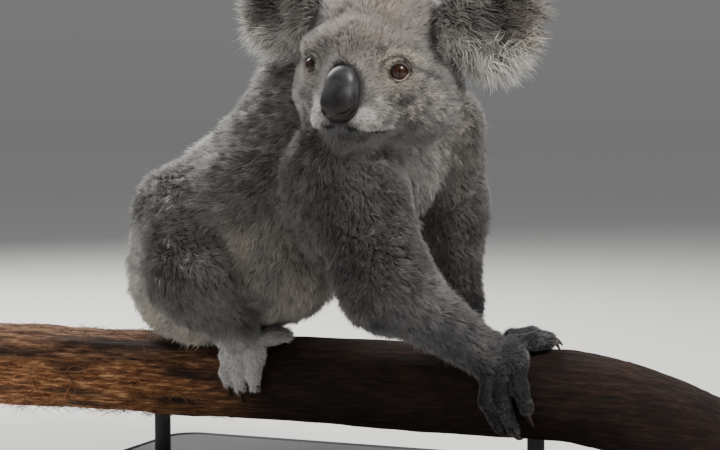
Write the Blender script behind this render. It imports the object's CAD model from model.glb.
"""Looks of a life-size koala on a branch: skin, coat, eyes, nose, claws, bark and stand.

The animal's form is a set of distance fields in millimetres, the same forms as the CAD
solids. The skin lies inside them by the coat's depth, and tufts of fur as solid spikes
fill the rest. Every object is made in metres.
"""

import math

import bmesh
import bpy
import numpy as np
from mathutils import Matrix, Vector, kdtree


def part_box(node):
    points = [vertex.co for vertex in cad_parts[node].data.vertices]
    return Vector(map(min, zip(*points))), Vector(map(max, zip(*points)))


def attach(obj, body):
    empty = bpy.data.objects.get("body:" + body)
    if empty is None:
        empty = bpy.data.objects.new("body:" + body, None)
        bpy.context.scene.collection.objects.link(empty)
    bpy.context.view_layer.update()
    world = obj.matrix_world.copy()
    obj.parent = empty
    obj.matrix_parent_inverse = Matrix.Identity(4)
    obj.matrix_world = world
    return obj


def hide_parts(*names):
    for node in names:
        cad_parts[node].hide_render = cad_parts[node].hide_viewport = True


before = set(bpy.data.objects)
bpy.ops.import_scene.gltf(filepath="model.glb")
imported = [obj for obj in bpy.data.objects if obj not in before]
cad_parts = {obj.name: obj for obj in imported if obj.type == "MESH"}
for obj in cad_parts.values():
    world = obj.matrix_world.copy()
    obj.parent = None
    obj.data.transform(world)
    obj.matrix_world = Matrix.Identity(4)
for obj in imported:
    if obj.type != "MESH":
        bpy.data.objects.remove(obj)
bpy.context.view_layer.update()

MM = 0.001
random = np.random.default_rng(11)


def vec(*xyz):
    return np.array(xyz, float)


def unit(v):
    return v / np.maximum(np.linalg.norm(v, axis=-1, keepdims=True), 1e-9)


def smooth(low, high, x):
    """0 below low, 1 above high, and a smooth step between."""
    t = np.clip((x - low) / (high - low), 0, 1)
    return t * t * (3 - 2 * t)


def mix(a, b, share):
    share = np.asarray(share)[..., None] if np.ndim(a) > 1 or np.ndim(b) == 1 else share
    return a + (b - a) * share


def noise(p, scale, seed=0):
    """Smooth random values from -1 to 1 over space, with features of the given size in mm."""
    q = p / scale + 17.3 * seed
    cell = np.floor(q).astype(np.int64)
    t = q - cell
    t = t * t * (3 - 2 * t)
    total = np.zeros(len(p))
    for corner in range(8):
        step = np.array([corner & 1, corner >> 1 & 1, corner >> 2])
        k = (cell + step) @ np.array([73856093, 19349663, 83492791]) + 1013 * seed
        k = (k ^ (k >> 13)) * 1274126177 & 0x7FFFFFFF
        k = (k ^ (k >> 16)) & 0xFFFF
        share = np.prod(np.where(step, t, 1 - t), axis=1)
        total += share * (k / 32767.5 - 1)
    return total


# ---- Sizes in mm, as in the CAD model ------------------------------------------------

BRANCH_RADIUS = 42.5
BRANCH_HEIGHT = 100
BARK_GAP = 1.0  # from the branch to the skin that rests on it
FUR_GAP = 2.2  # from the branch to the nearest tufts
BRANCH_BACK = -425
BRANCH_FRONT = 365
DROOP_START = 200
DROOP = 46
BASE = {"length": 520, "width": 240, "thickness": 18, "corner": 30, "chamfer": 1.6, "bevel": 2.2}
ROD_RADIUS = 8
ROD_SIDES = 48
SHARP = math.radians(35)  # a corner of the stand that is sharper than this stays sharp
ROD_X = {"left": -215, "right": 175}

HEAD_CENTRE = vec(50, -84, 396)
HEAD_YAW, HEAD_PITCH, HEAD_ROLL = -2, 8, 5
EYE_RADIUS = 10.5
SOCKET_GAP = 0.2
EYE_PLACE = vec(38.5, 42, 5)
EAR_PLACE = vec(108, -12, 54)
EAR_HALVES = vec(33, 8, 38)
# Width of the rounded crease between the forms that make up each part
CREASE = {"trunk": 34, "head": 18, "muzzle": 9, "ear": 16, "limb": 24, "palm": 9, "digit": 5, "nose": 8}
CREASE |= {"between_digits": 2.5, "nostril": 1.6, "ear_hollow": 4, "mouth": 0.5, "lip_hollow": 2}
# Width of the rounded edge of what is cut out of the skin
CUT = {"lip_hollow": 4, "mouth": 1.5}
# Width of the rounded crease where each part joins the ones before it
JOINT = {"neck": 16, "head": 8, "ear": 8, "arm": 16, "hand": 10, "leg": 14, "foot": 10}


# ---- Distance fields -----------------------------------------------------------------

def turned(z=0, y=0, x=0):
    z, y, x = np.radians([z, y, x])
    about_z = np.array([[math.cos(z), -math.sin(z), 0], [math.sin(z), math.cos(z), 0], [0, 0, 1]])
    about_y = np.array([[math.cos(y), 0, math.sin(y)], [0, 1, 0], [-math.sin(y), 0, math.cos(y)]])
    about_x = np.array([[1, 0, 0], [0, math.cos(x), -math.sin(x)], [0, math.sin(x), math.cos(x)]])
    return about_z @ about_y @ about_x


def smooth_least(a, b, width):
    h = np.clip(0.5 + 0.5 * (b - a) / width, 0, 1)
    return b + (a - b) * h - width * h * (1 - h)


class Taper:
    """Two balls and the cone that wraps them."""

    def __init__(self, start, end, start_radius, end_radius):
        self.start, self.along = start, end - start
        self.radii = (start_radius, end_radius)

    def at(self, p):
        gone = p - self.start
        t = np.clip(gone @ self.along / (self.along @ self.along), 0, 1)
        radius = self.radii[0] + (self.radii[1] - self.radii[0]) * t
        return np.linalg.norm(gone - t[:, None] * self.along, axis=1) - radius

    def tapers(self):
        return [self]


class Egg:
    """An ellipsoid turned by a rotation matrix."""

    def __init__(self, centre, halves, turn=None):
        self.centre, self.halves = centre, halves
        self.turn = np.eye(3) if turn is None else turn

    def at(self, p):
        q = (p - self.centre) @ self.turn / self.halves
        near = np.linalg.norm(q, axis=1)
        steep = np.linalg.norm(q / self.halves, axis=1)
        return near * (near - 1) / np.maximum(steep, 1e-9)

    def tapers(self):
        return []


class Join:
    """Fields joined into one, with rounded creases."""

    def __init__(self, width, *parts):
        self.width, self.parts = width, parts

    def at(self, p):
        total = self.parts[0].at(p)
        for part in self.parts[1:]:
            total = smooth_least(total, part.at(p), self.width)
        return total

    def tapers(self):
        return [t for part in self.parts for t in part.tapers()]


class Scoop:
    """A field with others scooped out of it."""

    def __init__(self, width, body, *hollows):
        self.width, self.body, self.hollows = width, body, hollows

    def at(self, p):
        total = self.body.at(p)
        for hollow in self.hollows:
            total = -smooth_least(-total, hollow.at(p), self.width)
        return total

    def tapers(self):
        return self.body.tapers()


def slope(at, p, step=0.4):
    """The outward direction of a field, from four places round each point."""
    corners = np.array([[1, -1, -1], [-1, 1, -1], [-1, -1, 1], [1, 1, 1]])
    total = np.zeros_like(p)
    for corner in corners:
        total += at(p + step * corner)[:, None] * corner
    return total / (4 * step)


# ---- The animal's forms --------------------------------------------------------------

def branch_centre(x):
    past = np.maximum(0, (x - DROOP_START) / (BRANCH_FRONT - DROOP_START))
    zero = np.zeros_like(past, float)
    return np.stack([x + zero, zero, BRANCH_HEIGHT - DROOP * past**1.6], -1)


def from_axis(p):
    """How far points are from the branch's axis."""
    return np.linalg.norm((p - branch_centre(p[:, 0]))[:, 1:], axis=1)


def around_branch(x, phi, distance):
    """A point beside the branch: phi degrees from its top towards -Y."""
    angle = np.radians(phi)
    away = np.stack([np.zeros_like(angle), -np.sin(angle), np.cos(angle)], -1)
    return branch_centre(x) + away * np.asarray(distance)[..., None]


def head_axes():
    left = turned(HEAD_YAW, HEAD_ROLL, HEAD_PITCH)
    return left @ np.diag([1, -1, 1])


HEAD_AXES = head_axes()


def in_head(place):
    """From the head's own frame, x to its left, y forward and z up, to the model's."""
    return HEAD_CENTRE + np.asarray(place, float) @ HEAD_AXES.T


def to_head(p):
    return (p - HEAD_CENTRE) @ HEAD_AXES


SIDES = {"left": 1, "right": -1}


def eye_centre(side):
    return in_head(EYE_PLACE * vec(side, 1, 1))


def ear_tilt(side):
    return turned(side * -16, side * 10)


def in_ear(q, side):
    """From the head's frame to the ear's own."""
    return (q - EAR_PLACE * vec(side, 1, 1)) @ ear_tilt(side)


def head_taper(start, end, start_radius, end_radius):
    return Taper(in_head(start), in_head(end), start_radius, end_radius)


def head_egg(centre, halves, turn=None):
    turn = HEAD_AXES if turn is None else HEAD_AXES @ turn
    return Egg(in_head(centre), vec(*halves), turn)


def both_sides(make):
    return [make(1), make(-1)]


def trunk_form():
    lean = turned(0, -38)
    return Join(
        CREASE["trunk"],
        Egg(vec(-163, 0, 218), vec(74, 82, 82)),  # rump
        Egg(vec(-166, 0, 194), vec(66, 72, 60)),  # seat
        Egg(vec(-112, -4, 266), vec(94, 84, 84), lean),  # loins
        Egg(vec(-40, -6, 328), vec(92, 80, 86), lean),  # ribs
        Egg(vec(26, -4, 326), vec(58, 70, 78)),  # chest
        Egg(vec(-88, -6, 220), vec(72, 76, 68)),  # belly
        Taper(vec(-36, -8, 388), vec(4, -12, 404), 56, 50),  # withers
        Egg(vec(-92, -66, 272), vec(56, 40, 50), lean),  # right flank
        Egg(vec(-92, 56, 272), vec(56, 40, 50), lean),  # left flank
    )


def head_form():
    skull = Join(
        CREASE["head"],
        head_egg((0, -10, 18), (66, 58, 64)),  # cranium
        *both_sides(lambda s: head_egg((s * 36, -4, -20), (44, 50, 48))),  # cheeks
        head_egg((0, 26, -10), (54, 34, 50)),  # face
        head_egg((0, 48, -34), (34, 30, 26)),  # snout
        head_taper((0, 38, 22), (0, 58, -6), 25, 20),  # bridge of the nose
        *both_sides(lambda s: head_egg((s * 34, 36, 22), (22, 12, 13))),  # brows
    )
    return Join(
        CREASE["muzzle"],
        skull,
        *both_sides(lambda s: head_egg((s * 15, 64, -38), (16, 15, 12))),  # upper lips
        head_egg((0, 46, -53), (22, 22, 13)),  # chin
    )


def mouth_form():
    """The parting of the lips, from side to side under the nose."""
    line = [(-37, 42, -51), (-27, 58, -45), (-13, 75, -41), (0, 80, -41.5)]
    line += [(-x, y, z) for x, y, z in reversed(line[:-1])]
    pairs = zip(line, line[1:])
    return Join(CREASE["mouth"], *[head_taper(a, b, lip_gap(a), lip_gap(b)) for a, b in pairs])


def lip_gap(place):
    """Half the width of the parting, which closes towards the corners of the mouth."""
    return 2.4 - 0.04 * abs(place[0])


def lip_hollow():
    """What sets the lower lip back under the upper one."""
    line = [(-31, 61, -53), (-14, 79, -50), (14, 79, -50), (31, 61, -53)]
    pairs = zip(line, line[1:])
    return Join(CREASE["lip_hollow"], *[head_taper(a, b, 7.5, 7.5) for a, b in pairs])


def nose_form():
    leather = Join(
        CREASE["nose"],
        head_egg((0, 74, -8), (15.5, 12, 19), turned(0, 0, 14)),
        head_egg((0, 78, -23), (17, 13.5, 15.5)),
    )
    lower = both_sides(lambda s: head_taper((s * 6.5, 90.5, -31), (s * 12.5, 86.5, -30), 2.8, 3.4))
    upper = both_sides(lambda s: head_taper((s * 12.5, 86.5, -30), (s * 17.5, 79, -21), 3.4, 1.6))
    return Scoop(CREASE["nostril"], leather, *lower, *upper)


def ear_form(side):
    """The ear's skin: a thin round shell, hollow in front. Its long hair makes the rest."""
    tilt = ear_tilt(side)
    place = EAR_PLACE * vec(side, 1, 1)
    inner = place + vec(side * -8, 0, -3)
    return Scoop(
        CREASE["ear_hollow"],
        Join(
            CREASE["ear"],
            head_egg(inner, EAR_HALVES, tilt),
            head_taper((side * 62, -8, 36), (side * 84, -12, 48), 20, 15),
        ),
        head_egg(inner + vec(side * 2, 13, 0), (25, 11, 30), tilt),
    )


LIMBS = {
    "arm_right": [vec(20, -84, 306), vec(70, -112, 206), vec(134, -48, 145), (56, 41, 23)],
    "arm_left": [vec(64, 44, 344), vec(70, 60, 266), vec(92, 36, 176), (47, 36, 21)],
    "leg_right": [vec(-160, -48, 258), vec(-134, -88, 206), vec(-104, -62, 156), (56, 43, 23)],
    "leg_left": [vec(-160, 48, 258), vec(-150, 88, 206), vec(-140, 62, 156), (56, 43, 23)],
}


def limb_form(name):
    top, middle, end, radii = LIMBS[name]
    parts = [Taper(top, middle, *radii[:2]), Taper(middle, end, *radii[1:])]
    if name == "arm_right":
        parts.append(Egg(vec(-2, -72, 276), vec(46, 40, 58), turned(0, -12)))  # back of the arm
    return Join(CREASE["limb"], *parts)


def digit(places, thick, thin, claw=0):
    return {"places": places, "thick": thick, "thin": thin, "claw": claw}


RIGHT_HAND = {
    "heel": (157, 44, 60),
    "heel_radii": (20, 14),
    "knuckles": ((143, 58, 55), (166, 49, 55)),
    "digits": {
        5: digit(((143, 62, 54), (144, 92, 52.5), (152, 119, 50.5)), 9, 7, 14),
        4: digit(((157, 60, 54), (159, 93, 52.5), (166, 123, 50.5)), 9, 7, 15),
        3: digit(((169, 52, 54), (174, 76, 52.5), (181, 97, 51)), 9.5, 7.5, 15),
        2: digit(((160, 32, 57), (178, 22, 54), (191, 15, 51)), 9.5, 7.5, 14),
        1: digit(((157, 22, 57), (171, 3, 54), (184, -13, 51)), 9.5, 7.5, 13),
    },
}
LEFT_HAND = {
    "heel": (98, -30, 61),
    "heel_radii": (19, 14),
    "knuckles": ((86, -42, 56), (108, -36, 56)),
    "digits": {
        5: digit(((86, -50, 54), (84, -84, 52.5), (88, -116, 50.5)), 9, 7, 14),
        4: digit(((98, -50, 54), (98, -84, 52.5), (100, -119, 50.5)), 9, 7, 15),
        3: digit(((109, -46, 54), (112, -78, 52.5), (118, -108, 50.5)), 9, 7, 15),
        2: digit(((104, -26, 57), (117, -13, 54), (127, -3, 51)), 9.5, 7.5, 14),
        1: digit(((96, -22, 57), (102, -4, 55), (105, 9, 52)), 9.5, 7.5, 13),
    },
}


def hind_foot(x, side):
    """The two middle toes share a sleeve and two small claws; the great toe has none."""

    def on(*places):
        return tuple((x + dx, side * phi, distance) for dx, phi, distance in places)

    return {
        "heel": (x, side * 46, 60),
        "heel_radii": (23, 16),
        "knuckles": on((-10, 57, 56), (11, 57, 56)),
        "digits": {
            5: digit(on((-12, 62, 54), (-13, 76, 53), (-12, 87, 51)), 9.5, 7.5, 13),
            4: digit(on((0, 62, 54), (-1, 78, 53), (0, 92, 51)), 9.5, 7.5, 14),
            23: digit(on((13, 62, 54), (14, 78, 53), (15, 90, 51)), 9.5, 7, 8),
            1: digit(on((12, 42, 58), (25, 35, 56), (36, 31, 54)), 11, 9),
        },
    }


PAWS = {
    "hand_right": (RIGHT_HAND, "arm_right"),
    "hand_left": (LEFT_HAND, "arm_left"),
    "foot_right": (hind_foot(-103, 1), "leg_right"),
    "foot_left": (hind_foot(-139, -1), "leg_left"),
}


KNUCKLE_RADIUS = 13.5


def digit_form(one):
    root, middle, tip = [around_branch(*place) for place in one["places"]]
    half = (one["thick"] + one["thin"]) / 2
    return Join(
        CREASE["digit"],
        Taper(root, middle, one["thick"], half),
        Taper(middle, tip, half, one["thin"]),
    )


def paw_form(name):
    paw, limb = PAWS[name]
    wrist = LIMBS[limb][2]
    outer, inner = [around_branch(*place) for place in paw["knuckles"]]
    return Join(
        CREASE["palm"],
        Taper(wrist, around_branch(*paw["heel"]), *paw["heel_radii"]),
        Taper(outer, inner, KNUCKLE_RADIUS, KNUCKLE_RADIUS),
        Join(CREASE["between_digits"], *[digit_form(one) for one in paw["digits"].values()]),
    )


FORMS = {
    "trunk": trunk_form(),
    "neck": Taper(vec(5, -14, 386), vec(40, -62, 394), 54, 50),
    "head": head_form(),
}
FORMS |= {"ear_left": ear_form(1), "ear_right": ear_form(-1)}
FORMS |= {name: limb_form(name) for name in LIMBS}
FORMS |= {name: paw_form(name) for name in PAWS}
NAMES = list(FORMS)
NOSE = nose_form()
MOUTH = mouth_form()
LIP_HOLLOW = lip_hollow()

# How deep the coat is over the skin, in mm
DEPTH = {"trunk": 8.5, "neck": 8, "head": 5.5, "ear": 0, "arm": 7, "leg": 7.5, "hand": 1.5, "foot": 2}
BARE_DEPTH = 3.6  # how much shallower it is on the face


def kind(name):
    return name.split("_")[0]


def share_of(distances, softness=7):
    """How much each form counts at each point: the nearer its surface, the more."""
    weight = np.exp(-(distances - distances.min(0)) / softness)
    return weight / weight.sum(0)


def bareness(p):
    """From 0 on the back of the head to 1 round the eyes, nose and mouth."""
    q = to_head(p)
    forward = q[:, 1] - 0.12 * np.abs(q[:, 0])
    return smooth(2, 44, forward - 0.25 * np.maximum(q[:, 2], 0))


def distances_at(p):
    return np.stack([FORMS[name].at(p) for name in NAMES])


def skin_at(p):
    """The field of the skin."""
    distances = distances_at(p)
    total = distances[0]
    for name, distance in zip(NAMES[1:], distances[1:]):
        total = smooth_least(total, distance, JOINT[kind(name)])
    share = share_of(distances)
    depth = vec(*[DEPTH[kind(name)] for name in NAMES]) @ share
    depth = depth - BARE_DEPTH * share[NAMES.index("head")] * bareness(p)
    total = total + depth
    total = -smooth_least(-total, LIP_HOLLOW.at(p), CUT["lip_hollow"])
    total = -smooth_least(-total, MOUTH.at(p), CUT["mouth"])
    for side in (1, -1):
        socket = np.linalg.norm(p - eye_centre(side), axis=1) - EYE_RADIUS - SOCKET_GAP
        total = np.maximum(total, -socket)
    return np.maximum(total, -(from_axis(p) - BRANCH_RADIUS - BARK_GAP))


# ---- From fields to meshes -----------------------------------------------------------

def sampled(at, low, high, cell, block=5):
    """The field on a grid, worked out only in the blocks that its surface may cross."""
    count = np.ceil((high - low) / cell / block).astype(int)
    reach = cell * block
    middles = [low[a] + reach * (np.arange(count[a]) + 0.5) for a in range(3)]
    coarse = at(np.stack(np.meshgrid(*middles, indexing="ij"), -1).reshape(-1, 3)).reshape(count)
    values = coarse
    for axis in range(3):
        values = np.repeat(values, block, axis)
    values = np.pad(values, ((0, 1),) * 3, mode="edge")
    wanted = np.zeros(values.shape, bool)
    for start in np.argwhere(np.abs(coarse) < reach * 1.1) * block:
        wanted[tuple(slice(s, s + block + 1) for s in start)] = True
    places = np.argwhere(wanted)
    found = [at(low + cell * places[s : s + 150000]) for s in range(0, len(places), 150000)]
    values[wanted] = np.concatenate(found)
    return values


def surface(at, low, high, cell, pulls=2):
    """Vertices and four-sided faces of a field's surface: one vertex in each cell that it
    crosses, drawn onto the surface, and one face across each grid edge that it crosses."""
    values = sampled(at, low, high, cell)
    inside = values < 0
    size = np.array(values.shape) - 1
    shape = tuple(size)
    crossing = np.zeros(shape, int)
    for step in np.ndindex(2, 2, 2):
        crossing += inside[tuple(slice(s, s + n) for s, n in zip(step, size))]
    active = (crossing > 0) & (crossing < 8)
    cells = np.argwhere(active)
    vertex_of = np.full(shape, -1)
    vertex_of[active] = np.arange(len(cells))
    total, count = np.zeros((len(cells), 3)), np.zeros(len(cells))
    for axis in range(3):
        others = [a for a in range(3) if a != axis]
        for pair in np.ndindex(2, 2):
            offset = np.zeros(3, int)
            offset[others] = pair
            start = cells + offset
            end = start.copy()
            end[:, axis] += 1
            a, b = values[tuple(start.T)], values[tuple(end.T)]
            met = (a < 0) != (b < 0)
            place = offset + np.zeros((len(cells), 3))
            place[:, axis] += np.where(met, a / np.where(met, a - b, 1), 0)
            total += place * met[:, None]
            count += met
    vertices = low + cell * (cells + total / count[:, None])
    for _ in range(pulls):
        out = slope(at, vertices)
        step = at(vertices) / np.maximum((out**2).sum(1), 0.2)
        vertices = vertices - np.clip(step, -cell / 2, cell / 2)[:, None] * out
    faces = []
    for axis in range(3):
        first, second = [a for a in range(3) if a != axis]
        before = np.take(inside, range(size[axis]), axis)
        after = np.take(inside, range(1, size[axis] + 1), axis)
        edges = np.argwhere(before != after)
        safe = (edges[:, [first, second]] > 0).all(1)
        safe &= (edges[:, first] < size[first]) & (edges[:, second] < size[second])
        edges = edges[safe]
        leaving = before[tuple(edges.T)]
        ring = []
        for back in ((1, 1), (0, 1), (0, 0), (1, 0)):
            home = edges.copy()
            home[:, [first, second]] -= back
            ring.append(vertex_of[tuple(home.T)])
        ring = np.stack(ring, 1)
        outward = leaving if axis != 1 else ~leaving
        ring[~outward] = ring[~outward][:, ::-1]
        faces.append(ring)
    return vertices, np.concatenate(faces)


def build(name, vertices, faces, material, slot_name, nodes=(), colours=None, sharp=False):
    """A mesh object from points in mm, riding on the model. Colours go on its vertices."""
    mesh = bpy.data.meshes.new(name)
    faces = np.asarray(faces)
    mesh.vertices.add(len(vertices))
    mesh.vertices.foreach_set("co", (np.asarray(vertices) * MM).astype(np.float32).ravel())
    mesh.loops.add(faces.size)
    mesh.loops.foreach_set("vertex_index", faces.astype(np.int32).ravel())
    mesh.polygons.add(len(faces))
    mesh.polygons.foreach_set("loop_start", np.arange(0, faces.size, faces.shape[1], dtype=np.int32))
    mesh.update(calc_edges=True)
    mesh.validate()
    if not sharp:
        mesh.shade_smooth()
    if colours is not None:
        paint(mesh, colours)
    return add_piece(bpy.data.objects.new(name, mesh), material, slot_name, nodes)


def paint(mesh, colours):
    layer = mesh.color_attributes.new("coat", "FLOAT_COLOR", "POINT")
    full = np.concatenate([colours, np.ones((len(colours), 1))], 1)
    layer.data.foreach_set("color", full.astype(np.float32).ravel())


def add_piece(piece, material, slot_name, nodes=()):
    bpy.context.scene.collection.objects.link(piece)
    piece.data.materials.append(material)
    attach(piece, "root")
    if nodes:
        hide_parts(*nodes)
    return piece


# ---- Markings ------------------------------------------------------------------------

ASH = vec(0.175, 0.162, 0.152)
SLATE = vec(0.082, 0.077, 0.076)
BROWN = vec(0.155, 0.122, 0.098)
CREAM = vec(0.480, 0.435, 0.360)
WHITE = vec(0.740, 0.720, 0.680)
PALE = vec(0.450, 0.440, 0.425)
SOOT = vec(0.030, 0.029, 0.031)


def markings(p, out, share):
    """The coat's colour over the body, linear, from place and direction alone."""
    part = dict(zip(NAMES, share))
    colour = np.tile(ASH, (len(p), 1))
    patch = noise(p, 34, 1) * 0.6 + noise(p, 13, 2) * 0.4
    colour = mix(colour, BROWN, smooth(-0.1, 0.7, patch) * 0.35)
    x, y, z = p.T

    # Rump: paler low down and behind, with dapples
    rear = part["trunk"] + part["leg_right"] + part["leg_left"]
    back = 0.65 * part["trunk"] * smooth(0.1, 0.8, out[:, 2]) * smooth(30, -50, x)
    behind = np.maximum(rear * smooth(-150, -205, x - 0.45 * (z - 200)), back)
    colour = mix(colour, PALE, 0.85 * behind * smooth(-1.2, 0.1, noise(p, 22, 8)))
    rump = part["trunk"] * smooth(-120, -205, x) * smooth(300, 200, z)
    colour = mix(colour, CREAM, rump * smooth(0.0, 0.5, noise(p, 16, 3) + 0.25) * 0.45)
    seat = part["trunk"] * smooth(196, 160, z) * smooth(-90, -150, x)
    colour = mix(colour, CREAM, 0.55 * seat)

    # Under side: white throat and chest, and a stained buff belly
    under = smooth(0.05, -0.55, out[:, 2]) * (part["trunk"] + part["neck"])
    colour = mix(colour, CREAM, 0.55 * under * smooth(-0.5, 0.3, noise(p, 20, 4)))
    chest = part["trunk"] * smooth(18, 62, x + 0.2 * y) * smooth(395, 340, z)
    throat = (part["neck"] + part["trunk"]) * smooth(0.1, 0.7, out[:, 0])
    throat = throat * smooth(-10, 30, x) * smooth(400, 360, z)
    colour = mix(colour, WHITE * 0.62, np.clip(chest + throat, 0, 1) * 0.9)

    # Limbs: darker outside, pale inside
    for name in LIMBS:
        side = -1 if name.endswith("right") else 1
        inward = smooth(0.1, 0.8, -side * out[:, 1])
        colour = mix(colour, CREAM, part[name] * inward * 0.25)
        if name.startswith("leg"):
            lower = part[name] * (1 - inward) * smooth(-165, -130, x) * smooth(235, 195, z)
            colour = mix(colour, SLATE, lower * 0.6)
        if name.startswith("arm"):
            colour = mix(colour, SLATE, part[name] * smooth(350, 240, z) * 0.85)
            colour = mix(colour, SOOT * 1.4, part[name] * smooth(204, 166, z) * 0.9)

    # Paws: sooty hands, pale hind toes
    for name in PAWS:
        if name.startswith("hand"):
            colour = mix(colour, SOOT * (1 + 0.25 * patch)[:, None], smooth(0.1, 0.6, part[name]))
        else:
            low = smooth(158, 138, z)
            colour = mix(colour, mix(SLATE + 0 * p, WHITE * 1.05, low), smooth(0.15, 0.7, part[name]))

    return mix(colour, face_markings(to_head(p), colour), part["head"]) * (1 + 0.10 * patch)[:, None]


def face_markings(q, colour):
    """Brown-grey crown, grizzled cheeks, white upper lips, dark chin, pale fur by the eyes."""
    side, forward, up = np.abs(q[:, 0]), q[:, 1], q[:, 2]
    fine = 0.65 * noise(q, 6, 5) + 0.5 * noise(q, 2.8, 15)
    face = mix(colour, ASH * 1.25, 0.7)
    face = mix(face, BROWN * 1.5, 0.5 * smooth(-5, 45, up) * smooth(62, 20, side))
    cheek = smooth(20, 44, side) * smooth(4, -18, up)
    face = mix(face, SLATE * 0.4, cheek * 0.78 * smooth(-0.1, 0.4, fine))
    face = mix(face, CREAM * 1.1, cheek * 0.55 * smooth(-0.1, -0.5, fine))
    face = mix(face, SLATE * 0.7, 0.7 * smooth(-30, -48, up) * smooth(26, 40, side))
    by_eye = smooth(21, 11, np.hypot(side - 41, (up - 2) * 1.1)) * smooth(14, 30, forward)
    face = mix(face, CREAM * 0.85, 0.55 * by_eye)
    above_eye = smooth(20, 15, np.hypot(side - 40, up - 8)) * smooth(6, 14, up) * smooth(20, 32, forward)
    face = mix(face, CREAM * 1.15, 0.5 * above_eye)
    ragged = side + 11 * noise(q, 5, 7)
    lips = smooth(-18, -30, up - 0.55 * (side - 16)) * smooth(5, 14, side) * smooth(37, 22, ragged)
    lips = lips * smooth(34, 48, forward + 0.3 * side) * smooth(-0.9, 0.0, noise(q, 4, 8))
    face = mix(face, WHITE, 0.85 * lips)
    lip_edge = -39.5 - 0.0060 * side**2 + 2 * noise(q, 6, 9)
    below = smooth(1, -2.5, up - lip_edge) * smooth(14, 30, forward)
    face = mix(face, mix(SOOT + 0 * q, SLATE * 0.5, smooth(-5, -18, up - lip_edge)), 0.95 * below)
    fold = np.abs(np.hypot(side - 39, (up - 5) * 1.05) - 13.2)
    fold = smooth(1.9, 0.5, fold) * smooth(1, 9, up) * smooth(60, 48, side)
    outer = np.clip(((side - 50) * 14 - (up - 9) * 11) / 317, 0, 1)
    crease = np.hypot(side - 50 - 14 * outer, up - 9 + 11 * outer)
    crease = np.maximum(0.9 * fold, 0.9 * smooth(2.6, 0.8, crease)) * smooth(8, 24, forward)
    face = mix(face, SOOT, crease)
    rim = smooth(3.4, 1.2, NOSE.at(in_head(q)) + 0.10 * np.maximum(-8 - up, 0))
    face = mix(face, SOOT, 0.9 * rim)
    return mix(face, SOOT, 0.85 * smooth(36, 18, side) * smooth(4.2, 1.2, MOUTH.at(in_head(q))))


def ear_markings(q, side):
    """Grey outside and at the root, cream inside and at the rim, white low down."""
    local = in_ear(q, side)
    wide, tall = local[:, 0] / EAR_HALVES[0], local[:, 2]
    rim = np.hypot(wide, tall / EAR_HALVES[2])
    inside = smooth(-4, 2, local[:, 1])
    root = smooth(10, -20, local[:, 0] * side)
    pale = np.clip(smooth(0.55, 1.0, rim) * 0.6 + inside * 0.5, 0, 1) * (1 - 0.8 * root)
    low = smooth(-12, -34, tall)
    ear = mix(SLATE * 1.1 + 0 * q, CREAM * 0.95, pale)
    hollow = inside * smooth(0.85, 0.35, np.hypot(wide, (tall - 4) / 34))
    ear = mix(ear, BROWN * 0.3, 0.9 * hollow)
    return mix(ear, WHITE * 1.05, low * (0.35 + 0.65 * (1 - root)))


def all_markings(p, out, share):
    colour = markings(p, out, share)
    q = to_head(p)
    for name, side in SIDES.items():
        ear = smooth(0.25, 0.7, share[NAMES.index(f"ear_{name}")])
        colour = mix(colour, ear_markings(q, side), ear)
    return colour


# ---- Materials -----------------------------------------------------------------------

class Nodes:
    """A short way to write a material's node tree."""

    def __init__(self, name):
        self.material = bpy.data.materials.new(name)
        self.material.use_nodes = True
        self.tree = self.material.node_tree
        self.shader = self.tree.nodes["Principled BSDF"]

    def add(self, node_type, inputs=None, **settings):
        node = self.tree.nodes.new("ShaderNode" + node_type)
        for key, value in settings.items():
            setattr(node, key, value)
        for key, value in (inputs or {}).items():
            self.set(node.inputs[key], value)
        return node

    def set(self, socket, value):
        if isinstance(value, bpy.types.NodeSocket):
            self.tree.links.new(value, socket)
        else:
            socket.default_value = value

    def shade(self, **values):
        for key, value in values.items():
            self.set(self.shader.inputs[key.replace("_", " ")], value)

    def ramp(self, factor, stops):
        node = self.add("ValToRGB", {"Fac": factor})
        ramp = node.color_ramp
        while len(ramp.elements) < len(stops):
            ramp.elements.new(0.5)
        for element, (place_on_ramp, colour) in zip(ramp.elements, stops):
            element.position = place_on_ramp
            element.color = (*colour, 1)
        return node.outputs["Color"]

    def greys(self, factor, low, dark, high, light):
        """A ramp from one grey to another."""
        return self.ramp(factor, [(low, (dark,) * 3), (high, (light,) * 3)])

    def painted(self):
        """The colour painted on the vertices."""
        return self.add("Attribute", attribute_name="coat").outputs["Color"]

    def blend(self, way, a, b, factor=1.0):
        node = self.add("Mix", data_type="RGBA", blend_type=way)
        self.set(node.inputs["Factor"], factor)
        self.set(node.inputs[6], a)
        self.set(node.inputs[7], b)
        return node.outputs[2]

    def noise(self, vector, scale, detail=4, roughness=0.6):
        values = {"Vector": vector, "Scale": scale, "Detail": detail, "Roughness": roughness}
        return self.add("TexNoise", values).outputs["Fac"]

    def stretched(self, scale):
        where = self.add("TexCoord").outputs["Object"]
        return self.add("Mapping", {"Vector": where, "Scale": scale}).outputs["Vector"]

    def bump(self, height, strength, distance):
        node = self.add("Bump", {"Height": height, "Strength": strength, "Distance": distance})
        self.set(self.shader.inputs["Normal"], node.outputs["Normal"])

    def maths(self, operation, a, b=0.0):
        node = self.add("Math", operation=operation)
        self.set(node.inputs[0], a)
        self.set(node.inputs[1], b)
        return node.outputs[0]

    def squares(self, a, b):
        return self.maths("ADD", self.maths("POWER", a, 2), self.maths("POWER", b, 2))

    def share_out(self, axes, radius):
        """How far out from the local Z axis, as a share of a radius in mm."""
        out = self.maths("SQRT", self.squares(axes["X"], axes["Y"]))
        return self.maths("DIVIDE", out, radius * MM)


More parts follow.
